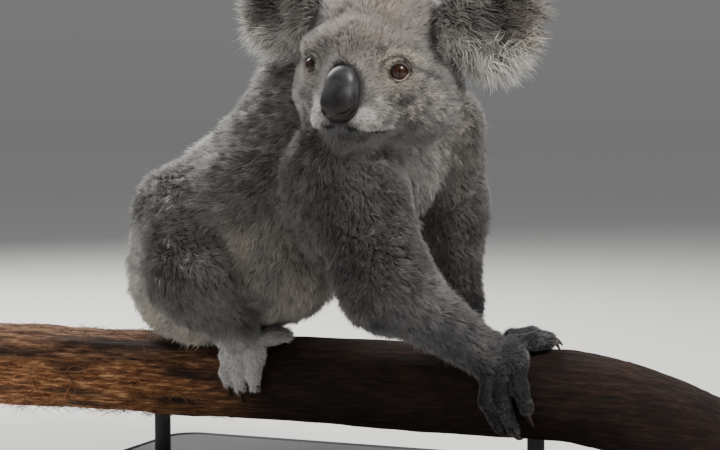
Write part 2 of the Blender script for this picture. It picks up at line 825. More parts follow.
def painted_material(name, stretch, grain, tint, relief=None, **finish):
    """The colours painted on the vertices, varied by a grain that can also be the relief.
    The grain is a noise's scale, detail and roughness, the tint is what greys() takes and
    the relief is its strength and its depth in metres."""
    n = Nodes(name)
    fine = n.noise(n.stretched(stretch), *grain)
    n.shade(Base_Color=n.blend("MULTIPLY", n.painted(), n.greys(fine, *tint)), **finish)
    if relief:
        n.bump(fine, *relief)
    return n.material


def coat_material():
    return painted_material(
        "coat", (1, 1, 1), (900, 2), (0.3, 0.82, 0.7, 1.12),
        Roughness=0.62, Specular_IOR_Level=0.28, Sheen_Weight=0.25, Sheen_Roughness=0.5,
    )


def skin_material():
    return painted_material(
        "skin", (1, 1, 1), (420, 6, 0.7), (0.3, 0.3, 0.7, 0.75), (0.8, 0.002),
        Roughness=0.85, Specular_IOR_Level=0.2,
    )


def lid_material():
    return painted_material(
        "eyelid_skin", (1, 1, 3), (700, 4), (0.3, 0.6, 0.7, 1.1), (0.5, 0.0006),
        Roughness=0.5, Specular_IOR_Level=0.4,
    )


def strand_material():
    return painted_material(
        "bark_fibre", (0.2, 1, 1), (500, 3), (0.3, 0.6, 0.7, 1.2),
        Roughness=0.8, Specular_IOR_Level=0.25,
    )


def nose_material():
    n = Nodes("nose_leather")
    where = n.stretched((1, 1, 1))
    cells = n.add("TexVoronoi", {"Vector": where, "Scale": 900}, feature="DISTANCE_TO_EDGE")
    tone = n.noise(where, 90, 4)
    pebble = n.greys(cells.outputs["Distance"], 0.0, 0, 0.25, 1)
    n.shade(Base_Color=n.blend("MULTIPLY", n.painted(), n.greys(tone, 0.35, 0.5, 0.7, 1.4)))
    n.shade(Roughness=n.greys(tone, 0.3, 0.33, 0.7, 0.46), Specular_IOR_Level=0.38)
    n.bump(pebble, 0.12, 0.0002)
    return n.material


def claw_material():
    n = Nodes("claw_horn")
    streaks = n.noise(n.stretched((1, 1, 1)), 260, 5, 0.7)
    n.shade(Base_Color=n.ramp(streaks, [(0.3, (0.010, 0.007, 0.006)), (0.75, (0.065, 0.043, 0.032))]))
    n.shade(Roughness=0.32, Specular_IOR_Level=0.5)
    n.bump(streaks, 0.3, 0.0003)
    return n.material


PUPIL = {"width": 1.9, "height": 7.8}


def eye_material():
    """Painted by the angle from the eye's own axis, its local +Z: pupil, iris, white."""
    n = Nodes("eye_ball")
    where = n.add("TexCoord").outputs["Object"]
    axes = n.add("SeparateXYZ", {"Vector": where}).outputs
    wide = n.maths("DIVIDE", axes["X"], PUPIL["width"] / 2 * MM)
    tall = n.maths("DIVIDE", axes["Y"], PUPIL["height"] / 2 * MM)
    pupil = n.greys(n.squares(wide, tall), 0.75, 0, 1.0, 1)
    share = n.share_out(axes, EYE_RADIUS)
    around = n.maths("MULTIPLY", n.maths("ARCTAN2", axes["Y"], axes["X"]), 3.0)
    spun = n.add("CombineXYZ", {"X": around, "Y": n.maths("MULTIPLY", share, 0.8)})
    rays = n.noise(spun.outputs["Vector"], 5, 6, 0.7)
    iris = n.ramp(rays, [(0.3, (0.006, 0.002, 0.001)), (0.7, (0.052, 0.016, 0.006))])
    ring = n.ramp(share, [(0.28, (1.25,) * 3), (0.5, (1.0,) * 3), (0.66, (0.25,) * 3)])
    white = n.greys(share, 0.76, 0, 0.84, 1)
    colour = n.blend("MIX", n.blend("MULTIPLY", iris, ring), (0.22, 0.14, 0.12, 1), white)
    n.shade(Base_Color=n.blend("MULTIPLY", colour, pupil), Roughness=0.3, Coat_Weight=0.45)
    n.shade(Coat_Roughness=0.02, Specular_IOR_Level=0.15)
    return n.material


def bark_material():
    n = Nodes("bark")
    long = n.stretched((0.12, 1, 1))
    fibres = n.noise(long, 330, 8, 0.72)
    broad = n.noise(n.stretched((0.5, 1, 1)), 14, 5, 0.6)
    flecks = n.noise(n.stretched((0.3, 1, 1)), 70, 4, 0.6)
    sound = [(0.32, (0.006, 0.004, 0.003)), (0.5, (0.018, 0.009, 0.0065)), (0.72, (0.055, 0.026, 0.016))]
    frayed = [(0.34, (0.022, 0.008, 0.004)), (0.5, (0.250, 0.100, 0.038)), (0.64, (0.680, 0.380, 0.190))]
    torn = n.add("Attribute", attribute_name="coat").outputs["Fac"]
    colour = n.blend("MIX", n.ramp(fibres, sound), n.ramp(fibres, frayed), torn)
    colour = n.blend("MULTIPLY", colour, n.greys(broad, 0.35, 0.65, 0.65, 1.2))
    n.shade(Base_Color=n.blend("MULTIPLY", colour, n.greys(flecks, 0.35, 0.75, 0.6, 1.1)))
    n.shade(Roughness=0.85, Specular_IOR_Level=0.25)
    n.bump(fibres, 0.9, 0.0025)
    return n.material


RINGS_PHASE = 1900 * BRANCH_RADIUS * MM  # radians of ring pattern from the pith to the bark


def end_grain_material():
    """Growth rings round the branch's axis, rays and a darker bark edge."""
    n = Nodes("end_grain")
    where = n.add("TexCoord").outputs["Object"]
    wobble = n.noise(where, 30, 3)
    axes = n.add("SeparateXYZ", {"Vector": where}).outputs
    share = n.share_out(axes, BRANCH_RADIUS)
    phase = n.maths("ADD", n.maths("MULTIPLY", share, RINGS_PHASE), n.maths("MULTIPLY", wobble, 9))
    rings = n.maths("SINE", phase)
    tone = n.ramp(rings, [(0.0, (0.20, 0.105, 0.055)), (0.8, (0.36, 0.215, 0.12))])
    edge = n.ramp(share, [(0.80, (1,) * 3), (0.90, (0.35, 0.25, 0.2))])
    saw = n.noise(n.stretched((1, 12, 1)), 160, 3)
    wood = n.blend("MULTIPLY", tone, edge)
    n.shade(Base_Color=n.blend("MULTIPLY", wood, n.greys(saw, 0.3, 0.8, 0.7, 1.1)))
    n.shade(Roughness=0.8)
    n.bump(n.maths("ADD", rings, saw), 0.25, 0.0006)
    return n.material


def paint_material():
    n = Nodes("stand_paint")
    where = n.stretched((1, 1, 1))
    orange_peel = n.noise(where, 500, 3)
    wear = n.noise(where, 25, 5)
    n.shade(Base_Color=n.ramp(wear, [(0.35, (0.035, 0.037, 0.040)), (0.75, (0.055, 0.057, 0.060))]))
    n.shade(Roughness=n.greys(wear, 0.3, 0.55, 0.7, 0.68), Specular_IOR_Level=0.3)
    n.bump(orange_peel, 0.12, 0.0004)
    return n.material


def floor_material():
    n = Nodes("floor")
    n.shade(Base_Color=(0.62, 0.618, 0.61, 1), Roughness=1.0, Specular_IOR_Level=0.1)
    return n.material


# ---- Camera, light and floor ---------------------------------------------------------

CAMERA_AZIMUTH = 22.0
CAMERA_ELEVATION = 2.75
CAMERA_DISTANCE = 1.6
FOCAL_PIXELS = 1665
PHOTO_WIDTH, PHOTO_HEIGHT = 720, 450
AXIS_ROW = 383  # the photo row where the branch's axis crosses the picture's middle


def camera():
    a, e = math.radians(CAMERA_AZIMUTH), math.radians(CAMERA_ELEVATION)
    back = Vector((math.sin(a) * math.cos(e), -math.cos(a) * math.cos(e), math.sin(e)))
    right = Vector((math.cos(a), math.sin(a), 0))
    up = back.cross(right)
    rise = (AXIS_ROW - PHOTO_HEIGHT / 2) / FOCAL_PIXELS * CAMERA_DISTANCE
    spot = Vector((0, 0, BRANCH_HEIGHT * MM)) + up * rise + back * CAMERA_DISTANCE
    data = bpy.data.cameras.new("camera")
    data.sensor_width = 36
    data.lens = FOCAL_PIXELS * data.sensor_width / PHOTO_WIDTH
    piece = bpy.data.objects.new("camera", data)
    piece.matrix_world = Matrix((right, up, back)).transposed().to_4x4()
    piece.location = spot
    bpy.context.scene.collection.objects.link(piece)
    bpy.context.scene.camera = piece


# Each light: its place and width in metres, its power in watts and its colour
LIGHTS = [
    ("key", (1.9, -0.8, 2.0), 0.8, 78, (1, 0.97, 0.93)),
    ("fill", (-2.2, -2.0, 1.1), 2.2, 5, (0.92, 0.95, 1)),
    ("top", (-1.5, 1.0, 2.2), 2.2, 160, (1, 0.98, 0.95)),
]
LIT_POINT = (0, 0, 0.3)
SKY_STRENGTH = 0.33
SKY_LOW, SKY_HIGH = (0.52, 0.525, 0.53, 1), (0.88, 0.89, 0.90, 1)
FLOOR_REACH = 60  # metres, so that its edge is lost behind the animal


def area_light(name, spot, size, power, colour):
    data = bpy.data.lights.new(name, "AREA")
    data.shape = "DISK"
    data.size, data.energy, data.color = size, power, colour
    piece = bpy.data.objects.new(name, data)
    piece.location = spot
    piece.rotation_euler = (Vector(LIT_POINT) - Vector(spot)).to_track_quat("-Z", "Y").to_euler()
    bpy.context.scene.collection.objects.link(piece)


def sky_light():
    world = bpy.data.worlds.new("studio")
    world.use_nodes = True
    background = world.node_tree.nodes["Background"].inputs
    background["Strength"].default_value = SKY_STRENGTH
    where = world.node_tree.nodes.new("ShaderNodeTexCoord").outputs["Generated"]
    axes = world.node_tree.nodes.new("ShaderNodeSeparateXYZ")
    sky = world.node_tree.nodes.new("ShaderNodeValToRGB")
    low, high = sky.color_ramp.elements
    low.color, high.color = SKY_LOW, SKY_HIGH
    high.position = 0.5
    world.node_tree.links.new(where, axes.inputs["Vector"])
    world.node_tree.links.new(axes.outputs["Z"], sky.inputs["Fac"])
    world.node_tree.links.new(sky.outputs["Color"], background["Color"])
    bpy.context.scene.world = world


def make_floor():
    mesh = bpy.data.meshes.new("floor")
    far = FLOOR_REACH
    corners = [(-far, -far, 0), (far, -far, 0), (far, far, 0), (-far, far, 0)]
    mesh.from_pydata(corners, [], [(0, 1, 2, 3)])
    floor = bpy.data.objects.new("floor", mesh)
    bpy.context.scene.collection.objects.link(floor)
    floor.data.materials.append(floor_material())


def studio():
    for light in LIGHTS:
        area_light(*light)
    sky_light()
    make_floor()


# ---- Skin ----------------------------------------------------------------------------

FLESH = ["trunk", "neck", "head", "ear_left", "ear_right"]
FLESH += [f"{part}_{side}" for side in ("left", "right") for part in
          ("upper_arm", "forearm", "hand", "thigh", "shin", "foot")]
SKIN_CELL = 2.7
SKIN_BOX = (vec(-262, -172, 52), vec(236, 142, 512))  # the space that its mesh has to fill


def make_skin():
    vertices, faces = surface(skin_at, *SKIN_BOX, SKIN_CELL)
    out = unit(slope(skin_at, vertices))
    share = share_of(distances_at(vertices))
    colours = all_markings(vertices, out, share)
    build("skin", vertices, faces, skin_material(), "fur", FLESH, colours)
    return vertices, faces, out


# ---- Coat ----------------------------------------------------------------------------

# For each part: length and width of a tuft in mm, the angle it leaves the skin at and the
# angle it ends at, and how many grow on a square centimetre
COAT = {
    "trunk": (11.5, 1.05, 50, 30, 112),
    "neck": (11, 1.0, 50, 30, 112),
    "head": (8, 0.85, 48, 28, 172),
    "ear": (21, 1.0, 40, 16, 52),
    "arm": (9.5, 0.98, 48, 28, 117),
    "leg": (10.5, 1.0, 48, 28, 110),
    "hand": (4.0, 0.75, 22, 8, 118),
    "foot": (5.5, 0.8, 24, 8, 112),
}
FACE = (4.6, 0.6, 40, 22, 230)  # what the head's values turn into on the face
CLUMP = 15  # roots in a clump, on average
SQUARE_CM = 100  # square millimetres
LONG = 17 * 0.9  # a tuft that reaches further than this, in mm, bends


def flow(p, out, share):
    """The way that the coat lies, along the skin."""
    part = dict(zip(NAMES, share))
    q = to_head(p)
    total = np.zeros_like(p)
    back = vec(-0.70, 0, -0.70) + 0 * p
    chest = smooth(-10, 55, p[:, 0])
    total += mix(back, vec(0.25, 0, -1), chest) * part["trunk"][:, None]
    nape = vec(-0.6, 0.5, -0.6) + 0 * p
    total += mix(nape, vec(0.1, 0, -1), smooth(0.1, 0.8, out[:, 0])) * part["neck"][:, None]
    from_nose = q - vec(0, 84, -16)
    from_nose[:, 2] -= 0.4 * np.maximum(from_nose[:, 2], 0)
    total += unit(from_nose) @ HEAD_AXES.T * part["head"][:, None]
    for name, side in SIDES.items():
        from_root = q - vec(side * 44, -16, 58)
        from_root[:, 2] -= 26 * smooth(20, -30, q[:, 2] - 40)
        total += unit(from_root) @ HEAD_AXES.T * part[f"ear_{name}"][:, None]
    for name in list(LIMBS) + list(PAWS):
        tapers = FORMS[name].tapers()
        near = np.stack([t.at(p) for t in tapers])
        weight = np.exp(-(near - near.min(0)) / 4)
        ways = np.stack([unit(t.along) for t in tapers])
        total += unit(weight.T @ ways) * part[name][:, None]
    return total


def spread(vertices, faces, out):
    """Roots scattered over the skin as thickly as each part's coat asks."""
    triangles = halved(faces)
    a, b, c = (vertices[triangles[:, n]] for n in range(3))
    middles = (a + b + c) / 3
    area = np.linalg.norm(np.cross(b - a, c - a), axis=1) / 2 / SQUARE_CM
    *_, density = coat_values(middles)
    wanted = area * density * keep_clear(middles)
    count = int(wanted.sum())
    chosen = random.choice(len(triangles), count, p=wanted / wanted.sum())
    u, v = random.random((2, count))
    over = u + v > 1
    u[over], v[over] = 1 - u[over], 1 - v[over]
    corner = triangles[chosen]
    weight = np.stack([1 - u - v, u, v], 1)[:, :, None]
    return (vertices[corner] * weight).sum(1), unit((out[corner] * weight).sum(1))


def coat_values(p):
    share = share_of(distances_at(p))
    values = np.array([COAT[kind(name)] for name in NAMES]).T @ share
    bare = share[NAMES.index("head")] * bareness(p)
    values = values + (np.array(FACE)[:, None] - values) * bare
    return values


BARE_ROUND_EYE = 9.7  # no tuft grows nearer to the eye's axis than this
BARE_ROUND_NOSE = 0.6
BARE_ROUND_MOUTH = 0.8


def keep_clear(p):
    """False inside the nose, on the eyeballs and where the body rests on the branch."""
    keep = NOSE.at(p) > BARE_ROUND_NOSE
    for side in (1, -1):
        eye = eye_centre(side)
        axis = eye_axis(side)
        off = p - eye
        along = off @ axis
        aside = np.linalg.norm(off - along[:, None] * axis, axis=1)
        keep &= ~((aside < BARE_ROUND_EYE) & (along > 0))
    keep &= from_axis(p) > BRANCH_RADIUS + FUR_GAP
    return keep & (MOUTH.at(p) > BARE_ROUND_MOUTH)


def lie(way, out, angle):
    along = unit(way - (way * out).sum(1)[:, None] * out)
    a = np.radians(angle)[:, None]
    return along * np.cos(a) + out * np.sin(a)


# How far tufts stray from the flow, in broad and fine patches and alone, and how far their
# lengths and the angles that they leave the skin at stray, as shares
STRAY = {"broad": 0.3, "fine": 0.6, "alone": 0.36, "length": 0.20, "patch_length": 0.26, "lift": 0.25}


def comb(roots, out):
    """The middle and tip of each tuft, drawn together in clumps, with how much each form
    counts there, its width and the tone that it shares with its clump."""
    share = share_of(distances_at(roots))
    length, width, start, end, _ = coat_values(roots)
    count = len(roots)
    way = unit(flow(roots, out, share))
    sway = np.stack([noise(roots, 26, 6 + n) for n in range(3)], 1)
    swirl = np.stack([noise(roots, 7, 12 + n) for n in range(3)], 1)
    way = way + STRAY["broad"] * sway + STRAY["fine"] * swirl
    way = way + STRAY["alone"] * random.standard_normal((count, 3))
    length = length * np.exp(STRAY["length"] * random.standard_normal(count))
    length = length * (1 + STRAY["patch_length"] * noise(roots, 11, 20))
    length = length + rim_length(roots, share)
    lift = 1 + STRAY["lift"] * random.standard_normal(count)
    middle = roots + 0.5 * length[:, None] * lie(way, out, start * lift)
    tip = middle + 0.5 * length[:, None] * lie(way, out, end * lift)
    leader = random.random(count) < 1 / CLUMP
    tree = kdtree.KDTree(int(leader.sum()))
    for n, root in enumerate(roots[leader]):
        tree.insert(root, n)
    tree.balance()
    nearest = np.array([tree.find(root)[1] for root in roots])
    pull = (0.24 + 0.22 * smooth(3, 12, length))[:, None]
    tip = tip + pull * (tip[leader][nearest] - tip)
    middle = middle + 0.35 * pull * (middle[leader][nearest] - middle)
    bunch = noise(roots[leader], 7, 31)[nearest]
    return share, width, middle, tip, bunch


def rim_length(p, share):
    """The long fringe round each ear, longest low down."""
    extra = np.zeros(len(p))
    q = to_head(p)
    for name, side in SIDES.items():
        local = in_ear(q, side)
        rim = np.hypot((local[:, 0] + side * 8) / EAR_HALVES[0], (local[:, 2] + 3) / EAR_HALVES[2])
        outer = smooth(-30, 0, local[:, 0] * side + 6)
        low = smooth(0, -25, local[:, 2])
        ear = share[NAMES.index(f"ear_{name}")]
        extra += ear * smooth(0.5, 1, rim) * outer * (5 + 10 * low)
    return extra


# How far a tuft's colour strays from the markings, alone and with its clump, and the share
# of tufts that are pale
TINT = {"alone": 0.20, "clump": 0.36, "pale": 0.18}
SHADES = (0.5, 0.95, 1.25)  # how bright a tuft is at its root, middle and tip


def tuft_colours(roots, out, share, bunch):
    """The colours of each tuft's root, middle and tip."""
    base = all_markings(roots, out, share)
    own = (1 + TINT["alone"] * random.standard_normal(len(roots))).clip(0.5, 1.6)
    base = base * own[:, None] * (1 + TINT["clump"] * bunch)[:, None]
    pale = (random.random(len(roots)) < TINT["pale"])[:, None]
    base = np.where(pale, base * 1.4 + 0.03, base)
    root, middle, tip = (base * shade for shade in SHADES)
    return root, middle, np.minimum(tip + 0.01, 0.95)


def box_unwrap(p, out):
    """Where each root lies on the unwrap of its own stretch of skin: six tiles, one for
    each way that the skin can face."""
    axis = np.abs(out).argmax(1)
    facing = out[np.arange(len(out)), axis] > 0
    tile = axis * 2 + facing
    uv = np.zeros((len(p), 2))
    for n in range(6):
        mine = tile == n
        if not mine.any():
            continue
        flat = p[mine][:, [a for a in range(3) if a != n // 2]]
        span = np.maximum(np.ptp(flat, axis=0), 1e-6)
        inside = 0.03 + 0.94 * (flat - flat.min(0)) / span
        uv[mine] = (inside + [n % 3, n // 3]) / [3, 2]
    return uv


# A tuft: how deep its foot is under the skin in mm, its half widths at the foot and the middle
# and its thickness as shares of its width
TUFT = {"buried": 0.8, "foot": 0.5, "middle": 0.42, "flat": 0.6}
PATCH = 0.003  # how wide a tuft's place on the OFBake map is
# Where a tuft's corners lie in its patch: the foot, the middle and the tip
CORNERS = PATCH * np.array([
    (-0.5, -0.5), (0.5, -0.5), (0, -0.35), (-0.4, 0.1), (0.4, 0.1), (0, 0.2), (0, 0.5),
])
BENT_FACES = [(0, 1, 4), (0, 4, 3), (1, 2, 5), (1, 5, 4), (2, 0, 3), (2, 3, 5)]
BENT_FACES += [(3, 4, 6), (4, 5, 6), (5, 3, 6)]
PLAIN_CORNERS = [0, 1, 2, 6]  # a tuft that doesn't bend has no middle
PLAIN_FACES = [(0, 1, 3), (1, 2, 3), (2, 0, 3)]


def bends(roots, tip):
    return np.linalg.norm(tip - roots, axis=1) > LONG


def repeated(pattern, corners, count, first=0):
    """One pattern of triangles for each of many equal groups of vertices."""
    starts = first + corners * np.arange(count)[:, None, None]
    return (np.array(pattern)[None] + starts).reshape(-1, 3)


def tuft_mesh(name, roots, out, middle, tip, width, colours, material, slot_name):
    """Spikes with three sides, their feet inside the skin: long ones bend, the rest don't."""
    long = bends(roots, tip)
    across = unit(np.cross(tip - roots, out))
    rise = unit(np.cross(across, tip - roots))
    angles = np.radians([90, 210, 330])
    ring = [across * math.cos(a) + TUFT["flat"] * rise * math.sin(a) for a in angles]
    foot = roots - TUFT["buried"] * out
    low = np.stack([foot + TUFT["foot"] * width[:, None] * r for r in ring], 1)
    high = np.stack([middle + TUFT["middle"] * width[:, None] * r for r in ring], 1)
    bent, plain = np.flatnonzero(long), np.flatnonzero(~long)
    seven = np.concatenate([low[bent], high[bent], tip[bent][:, None]], 1)
    four = np.concatenate([low[plain], tip[plain][:, None]], 1)
    vertices = np.concatenate([seven.reshape(-1, 3), four.reshape(-1, 3)])
    faces = np.concatenate([
        repeated(BENT_FACES, len(CORNERS), len(bent)),
        repeated(PLAIN_FACES, len(PLAIN_CORNERS), len(plain), len(CORNERS) * len(bent)),
    ])
    dark, mid, light = colours
    paint_bent = np.stack([dark[bent]] * 3 + [mid[bent]] * 3 + [light[bent]], 1).reshape(-1, 3)
    paint_plain = np.stack([dark[plain]] * 3 + [light[plain]], 1).reshape(-1, 3)
    paints = np.concatenate([paint_bent, paint_plain])
    piece = build(name, vertices, faces, material, slot_name, (), paints)
    uv = box_unwrap(roots, out)
    places = np.concatenate([
        (uv[bent][:, None] + CORNERS).reshape(-1, 2),
        (uv[plain][:, None] + CORNERS[PLAIN_CORNERS]).reshape(-1, 2),
    ])
    layer = piece.data.uv_layers.new(name="OFBake")
    layer.data.foreach_set("uv", places[faces.ravel()].astype(np.float32).ravel())


# Coat pieces: the forms that each covers, and the slot that it takes its finish from
COAT_PIECES = {
    "coat_head": (["head"], "fur"),
    "coat_ears": (["ear_left", "ear_right"], "ear_fur"),
    "coat_arm_right": (["arm_right"], "fur"),
    "coat_arm_left": (["arm_left"], "fur"),
    "coat_legs": (["leg_right", "leg_left"], "fur"),
    "coat_trunk": (["trunk", "neck"], "fur"),
}
# Each paw is a piece of its own, so that dark hands and white feet share no map
COAT_PIECES |= {f"coat_{name}": ([name], "paw_fur") for name in PAWS}
MOST_TRIANGLES = 185000


def make_coat(vertices, faces, out):
    roots, root_out = spread(vertices, faces, out)
    share, width, middle, tip, bunch = comb(roots, root_out)
    colours = tuft_colours(roots, root_out, share, bunch)
    owner = share.argmax(0)
    material = coat_material()
    for name, (parts, slot_name) in COAT_PIECES.items():
        mine = np.flatnonzero(np.isin(owner, [NAMES.index(part) for part in parts]))
        mine = mine[np.argsort(roots[mine, 0], kind="stable")]
        cost = np.where(bends(roots[mine], tip[mine]), len(BENT_FACES), len(PLAIN_FACES)).cumsum()
        pieces = math.ceil(cost[-1] / MOST_TRIANGLES)
        cuts = np.searchsorted(cost, cost[-1] * np.arange(1, pieces) / pieces)
        for n, some in enumerate(np.split(mine, cuts)):
            label = name if pieces == 1 else f"{name}_{n + 1}"
            parted = [c[some] for c in colours]
            tuft_mesh(label, roots[some], root_out[some], middle[some], tip[some], width[some], parted,
                      material, slot_name)


# ---- Eyes, lids, nose and claws ------------------------------------------------------

def eye_axis(side):
    """The way an eye looks: forward, well out to the side and a little up."""
    return unit(vec(side * 0.52, 0.85, 0.04) @ HEAD_AXES.T)


def eye_frame(side):
    """Columns: towards the ear, up, and out along the eye's axis."""
    out = eye_axis(side)
    up = HEAD_AXES[:, 2]
    up = unit(up - (up @ out) * out)
    return np.stack([np.cross(up, out), up, out], 1)


CORNEA = {"angle": 0.75, "bulge": 0.05}  # how far it reaches from the axis, and how far out


def make_eyes():
    material = eye_material()
    for name, side in SIDES.items():
        label = f"eyeball_{name}"
        mesh = bpy.data.meshes.new(label)
        ball = bmesh.new()
        bmesh.ops.create_uvsphere(ball, u_segments=64, v_segments=48, radius=EYE_RADIUS * MM)
        for v in ball.verts:
            bulge = smooth(math.cos(CORNEA["angle"]), 1.0, v.co.z / (EYE_RADIUS * MM))
            v.co *= 1 + CORNEA["bulge"] * float(bulge)
        ball.to_mesh(mesh)
        ball.free()
        mesh.shade_smooth()
        piece = add_piece(bpy.data.objects.new(label, mesh), material, "eye", [f"eye_{name}"])
        pose = Matrix(eye_frame(side).tolist()).to_4x4()
        pose.translation = eye_centre(side) * MM
        piece.matrix_world = pose


LID_RINGS = 16
LID_SPOKES = 96
LID_OPENING = 6.9  # half of the gap between the lids
LID_WIDTH = 8.4  # from the gap to where the lid runs out under the fur
WET_EDGE = vec(0.56, 0.44, 0.40)
LID_SKIN = vec(0.190, 0.155, 0.135)
LID_EDGE = vec(0.035, 0.025, 0.022)


def make_lids():
    """A fleshy rim round each eye, with a fold over the upper lid, that runs out under
    the fur of the face."""
    material = lid_material()
    for name, side in SIDES.items():
        eye = eye_centre(side)
        axes = eye_frame(side)
        turn = np.linspace(0, 2 * np.pi, LID_SPOKES, endpoint=False)
        toward_ear = np.cos(turn) * side
        up = np.sin(turn)
        corner = smooth(0.93, 1, np.abs(toward_ear))
        opening = LID_OPENING + 0.3 * np.abs(toward_ear) ** 3 - 0.3 * up**2 + 0.9 * corner
        rows, paints = [], []
        for ring in range(LID_RINGS):
            t = ring / (LID_RINGS - 1)
            reach = opening - 0.1 + LID_WIDTH * t**1.25
            x, y = reach * np.cos(turn), reach * up
            on_ball = np.sqrt(np.maximum((EYE_RADIUS * 1.012) ** 2 - reach**2, 0))
            flat = axes[:, 0] * x[:, None] + axes[:, 1] * y[:, None] + eye
            on_skin = height_over(flat, axes[:, 2])
            thick = 1.25 * smooth(0, 0.16, t) + 0.5 * smooth(0.1, 0.3, t) * np.maximum(up, 0)
            fold = -0.9 * np.exp(-(((t - 0.42) / 0.09) ** 2)) * smooth(-0.1, 0.5, up)
            fold = fold - 0.5 * np.exp(-(((t - 0.36) / 0.1) ** 2)) * smooth(0.1, 0.8, -up)
            height = mix(on_ball + thick - 0.25, on_skin + 0.2, smooth(0.22, 0.9, t)) + fold
            rows.append(flat + height[:, None] * axes[:, 2])
            edge = np.tile(mix(LID_EDGE, LID_SKIN, smooth(0.08, 0.3, t)), (LID_SPOKES, 1))
            wet = smooth(0.3, 0.8, -up + 0.4 * toward_ear) * smooth(0.10, 0.03, abs(t - 0.1))
            crease = 0.8 * np.exp(-(((t - 0.42) / 0.08) ** 2)) * smooth(-0.1, 0.5, up)
            crease = np.minimum(crease + 0.75 * smooth(0.34, 0.14, t) * smooth(-0.2, 0.4, up), 0.9)
            paints.append(mix(edge, WET_EDGE, wet) * (1 - crease)[:, None])
        vertices = np.concatenate(rows)
        faces = grid_faces(LID_RINGS, LID_SPOKES)
        build(f"eyelid_{name}", vertices, faces, material, "fur", (), np.concatenate(paints))


SEARCH_RANGE = (-8, 16)
SEARCH_STEPS = 14


def height_over(flat, axis):
    """How far along the axis the skin lies over each point."""
    low, high = (np.full(len(flat), float(end)) for end in SEARCH_RANGE)
    for _ in range(SEARCH_STEPS):
        middle = (low + high) / 2
        buried = skin_no_socket(flat + middle[:, None] * axis) < 0
        low, high = np.where(buried, middle, low), np.where(buried, high, middle)
    return low


def skin_no_socket(p):
    """The skin's field round an eye, without the socket."""
    distance = FORMS["head"].at(p)
    return distance + DEPTH["head"] - BARE_DEPTH * bareness(p)


def halved(quads):
    """Two triangles for each four-sided face."""
    return np.concatenate([quads[:, [0, 1, 2]], quads[:, [0, 2, 3]]])


def grid_faces(rows, columns):
    """Four-sided faces between rows of points, each row a closed ring."""
    row, column = np.meshgrid(np.arange(rows - 1), np.arange(columns), indexing="ij")
    row, column = row.ravel(), column.ravel()
    after = (column + 1) % columns
    return np.stack([row * columns + column, row * columns + after, (row + 1) * columns + after,
                     (row + 1) * columns + column], 1)


NOSE_CELL = 1.0


def make_nose():
    corners = in_head([(x, y, z) for x in (-24, 24) for y in (52, 98) for z in (-48, 20)])
    vertices, faces = surface(NOSE.at, corners.min(0), corners.max(0), NOSE_CELL)
    own = to_head(vertices)
    low = smooth(-2, -24, own[:, 2] + 4 * noise(own, 9, 31))
    colours = mix(vec(0.040, 0.039, 0.043) + 0 * vertices, vec(0.0060, 0.0034, 0.0033), low)
    build("nose_leather", vertices, faces, nose_material(), "nose_leather", ["nose"], colours)


CLAW = {"root": 3.4, "tip": 0.6, "sides": 16, "rings": 18, "flat": 0.86, "lean": 40, "clearance": 1.6}
TWIN = {"shift": 3.6, "size": 0.85}  # the two claws of the joined toes


def tube(at, half, outward, rings, sides, flat=1.0):
    """Rings of points along a path at(share), half(share) in half-width."""
    rows = []
    for share in np.linspace(0, 1, rings):
        centre = at(share)
        ahead = unit(at(share + 0.02) - at(share - 0.02))
        across = unit(np.cross(ahead, outward(centre)))
        up = np.cross(across, ahead)
        turn = np.linspace(0, 2 * np.pi, sides, endpoint=False)[:, None]
        rows.append(centre + half(share) * (up * np.cos(turn) / flat + across * np.sin(turn) * flat))
    return np.concatenate(rows)


def capped(vertices, rings, sides):
    """Vertices and triangles of a tube with a point in the middle of each end."""
    triangles = halved(grid_faces(rings, sides))
    ends = np.stack([vertices[:sides].mean(0), vertices[-sides:].mean(0)])
    around = np.arange(sides)
    after = (around + 1) % sides
    last = (rings - 1) * sides
    first_cap = np.stack([after, around, np.full(sides, len(vertices))], 1)
    last_cap = np.stack([last + around, last + after, np.full(sides, len(vertices) + 1)], 1)
    return np.concatenate([vertices, ends]), np.concatenate([triangles, first_cap, last_cap])


def from_branch(p):
    return p - branch_centre(p[0])


def claw_mesh(one, shift):
    _, (middle_x, middle_phi, _), (x, phi, distance) = one["places"]
    lean = (x - middle_x) / CLAW["lean"]
    size = TWIN["size"] if shift else 1.0
    reach = (one["thin"] + one["claw"]) * size
    turn = np.sign(phi - middle_phi) * math.degrees(reach / distance)
    drop = distance - BRANCH_RADIUS - CLAW["clearance"]

    def at(share):
        aside = x + shift + reach * share * lean
        return around_branch(aside, phi + turn * share, distance + 1 - drop * share**2)

    def half(share):
        return size * (CLAW["root"] + (CLAW["tip"] - CLAW["root"]) * share**1.3)

    points = tube(at, half, from_branch, CLAW["rings"], CLAW["sides"], CLAW["flat"])
    return capped(points, CLAW["rings"], CLAW["sides"])


def make_claws():
    material = claw_material()
    for name, (paw, _) in PAWS.items():
        vertices, faces, nodes, count = [], [], [], 0
        for number, one in paw["digits"].items():
            if not one["claw"]:
                continue
            shifts = (-TWIN["shift"], TWIN["shift"]) if number == 23 else (0,)
            for twin, shift in enumerate(shifts):
                points, triangles = claw_mesh(one, shift)
                vertices.append(points)
                faces.append(triangles + count)
                count += len(points)
                nodes.append(f"{name}_claw_{twin + 2 if number == 23 else number}")
        build(f"claws_{name}", np.concatenate(vertices), np.concatenate(faces), material, "claw", nodes)


# ---- Branch and stand ----------------------------------------------------------------

BARK_SIDES = 150
BARK_STEPS = 420
END_RINGS = 14
STRANDS = 5200  # tried; most are kept only where the bark is frayed
# The least length and width of a fibre in mm and the least angle it lifts at, in degrees, and
# how much more each can be
STRAND = {"length": (9, 16), "width": (0.5, 0.7), "lift": (4, 24)}


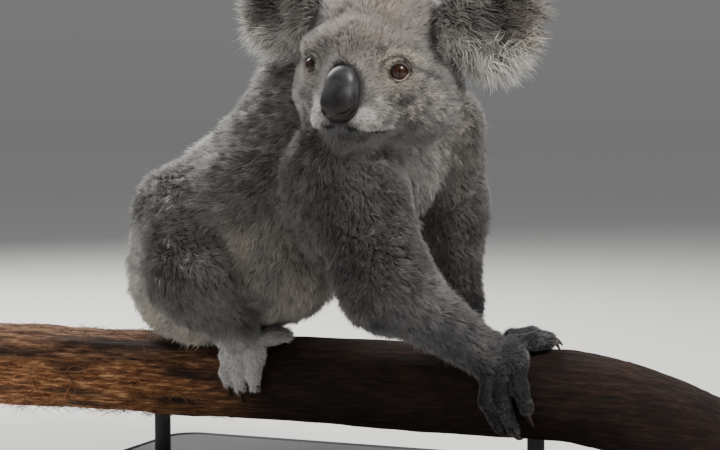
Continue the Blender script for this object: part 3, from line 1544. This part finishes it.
def torn_bark(p):
    """Where the bark is frayed: low on the near side of the back half."""
    angle = np.degrees(np.arctan2(-p[:, 1], p[:, 2] - BRANCH_HEIGHT))
    low = 0.45 + 0.55 * smooth(50, 85, angle) * smooth(178, 150, angle)
    back = smooth(-70, -190, p[:, 0])
    return back * low * smooth(-0.95, -0.1, noise(p * vec(0.22, 1, 1), 13, 40))


def bark_surface(share, turn):
    """Points of the bark, for places along and round the branch, before its relief."""
    x = BRANCH_BACK + (BRANCH_FRONT - BRANCH_BACK) * share
    uneven = 0.8 * np.sin(3 * turn + 9 * share) + 0.7 * np.sin(2 * turn - 23 * share)
    radius = BRANCH_RADIUS + uneven - 0.9
    away = np.stack([0 * turn, np.cos(turn), np.sin(turn)], -1)
    return branch_centre(x) + radius[:, None] * away, away


def make_branch():
    share = np.repeat(np.linspace(0, 1, BARK_STEPS), BARK_SIDES)
    turn = np.tile(np.linspace(0, 2 * np.pi, BARK_SIDES, endpoint=False), BARK_STEPS)
    points, away = bark_surface(share, turn)
    grain = points * vec(0.10, 1, 1)
    relief = 0.9 * noise(grain, 5, 50) + 0.5 * noise(grain, 2.4, 51) + 0.5 * noise(points, 22, 52)
    torn = torn_bark(points)
    relief = relief + torn * (1.0 * noise(grain, 3, 53) - 0.5)
    ends = np.minimum(share, 1 - share) * (BRANCH_FRONT - BRANCH_BACK)
    relief = relief * smooth(0, 4, ends) - 1.2 * smooth(3, 0, ends)
    points = points + relief[:, None] * away
    colours = np.repeat(torn[:, None], 3, 1)
    build("branch_bark", points, grid_faces(BARK_STEPS, BARK_SIDES), bark_material(), "bark",
          ["perch_log"], colours)
    sawn = end_grain_material()
    middles = branch_centre(np.array([BRANCH_BACK, BRANCH_FRONT]))
    make_end("back", points[:BARK_SIDES], middles[0], sawn)
    make_end("front", points[-BARK_SIDES:], middles[1], sawn)


def make_end(name, rim, centre, material):
    """A sawn end: a flat disc in its own frame, its local Z along the branch."""
    shares = np.linspace(1, 0, END_RINGS, endpoint=False)[:, None, None]
    points = centre + (rim - centre)[None] * shares
    local = points.reshape(-1, 3) - centre
    flat = np.stack([local[:, 1], local[:, 2], local[:, 0]], 1)
    flat = np.concatenate([flat, np.zeros((1, 3))])
    triangles = halved(grid_faces(END_RINGS, len(rim)))
    last = (END_RINGS - 1) * len(rim) + np.arange(len(rim))
    cap = np.stack([last, np.roll(last, -1), np.full(len(rim), len(flat) - 1)], 1)
    faces = np.concatenate([triangles, cap])
    if name == "front":
        faces = faces[:, ::-1]
    piece = build(f"branch_end_{name}", flat, faces, material, "bark", (), None, True)
    pose = Matrix(((0, 0, 1), (1, 0, 0), (0, 1, 0))).to_4x4()
    pose.translation = Vector(centre) * MM
    piece.matrix_world = pose


def make_strands():
    """Loose fibres of bark where it is frayed, and a few along the rest."""
    share = random.random(STRANDS)
    turn = random.random(STRANDS) * 2 * np.pi
    points, away = bark_surface(share, turn)
    torn = torn_bark(points)
    kept = (random.random(STRANDS) < 0.10 + torn) & (share > 0.03) & (share < 0.97)
    points, away, torn = points[kept], away[kept], torn[kept]
    count = len(points)
    along = np.where(random.random(count) < 0.5, -1, 1)[:, None] * vec(1, 0, 0)
    way = along + 0.55 * random.standard_normal((count, 3)) * torn[:, None]
    way = way + 0.08 * random.standard_normal((count, 3))
    least, more = STRAND["length"]
    length = (least + more * random.random(count)) * (0.5 + 0.8 * torn)
    least, more = STRAND["lift"]
    lift = least + more * torn * random.random(count)
    middle = points + 0.5 * length[:, None] * lie(way, away, lift)
    tip = middle + 0.5 * length[:, None] * lie(way + vec(0, 0, -0.5) * torn[:, None], away, lift * 1.2)
    base = mix(vec(0.060, 0.028, 0.018) + 0 * points, vec(0.30, 0.13, 0.055), torn)
    base = base * np.exp(0.35 * random.standard_normal(count))[:, None]
    least, more = STRAND["width"]
    width = least + more * random.random(count)
    tuft_mesh("bark_strands", points, away, middle, tip, width, (base * 0.6, base, base * 1.3),
              strand_material(), "bark")


def make_stand():
    material = paint_material()
    make_board(material)
    for name, x in ROD_X.items():
        make_rod(f"stand_rod_{name}", x, material)


def make_board(material):
    """The flat base, with round corners and a soft upper edge."""
    half = vec(BASE["length"], BASE["width"]) / 2
    outline = []
    for corner, (sx, sy) in enumerate(((1, 1), (-1, 1), (-1, -1), (1, -1))):
        for turn in np.linspace(0, np.pi / 2, 13):
            angle = turn + corner * np.pi / 2
            centre = (half - BASE["corner"]) * vec(sx, sy)
            outline.append(centre + BASE["corner"] * vec(math.cos(angle), math.sin(angle)))
    outline = np.array(outline)
    out = unit(outline - np.clip(outline, BASE["corner"] - half, half - BASE["corner"]))
    chamfer, bevel = BASE["chamfer"], BASE["bevel"]
    rows = [(-chamfer, 0), (0, chamfer), (0, BASE["thickness"] - bevel)]
    for t in np.linspace(math.pi / 2, 0, 5)[1:]:
        drop = bevel * (1 - math.sin(t))
        rows.append((-drop, BASE["thickness"] - drop))
    points = []
    for inset, height in rows:
        points.append(np.column_stack([outline + out * inset, np.full(len(outline), height)]))
    vertices, faces = capped(np.concatenate(points), len(rows), len(outline))
    piece = build("stand_board", vertices, faces, material, "stand_board", ["stand_base"])
    piece.data.set_sharp_from_angle(angle=SHARP)


def make_rod(name, x, material):
    """A round rod from the base to the branch."""
    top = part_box(name)[1].z / MM
    t = np.linspace(0, 2 * np.pi, ROD_SIDES, endpoint=False)
    across, deep = x + ROD_RADIUS * np.cos(t), ROD_RADIUS * np.sin(t)
    rows = [np.stack([across, deep, 0 * t + height], 1) for height in (BASE["thickness"], top)]
    vertices, faces = capped(np.concatenate(rows), len(rows), ROD_SIDES)
    piece = build(f"{name}_round", vertices, faces, material, "stand_rod", [name])
    piece.data.set_sharp_from_angle(angle=SHARP)


# ---- The whole model -----------------------------------------------------------------

camera()
studio()
skin = make_skin()
make_coat(*skin)
make_eyes()
make_lids()
make_nose()
make_claws()
make_branch()
make_strands()
make_stand()

bpy.context.view_layer.update()
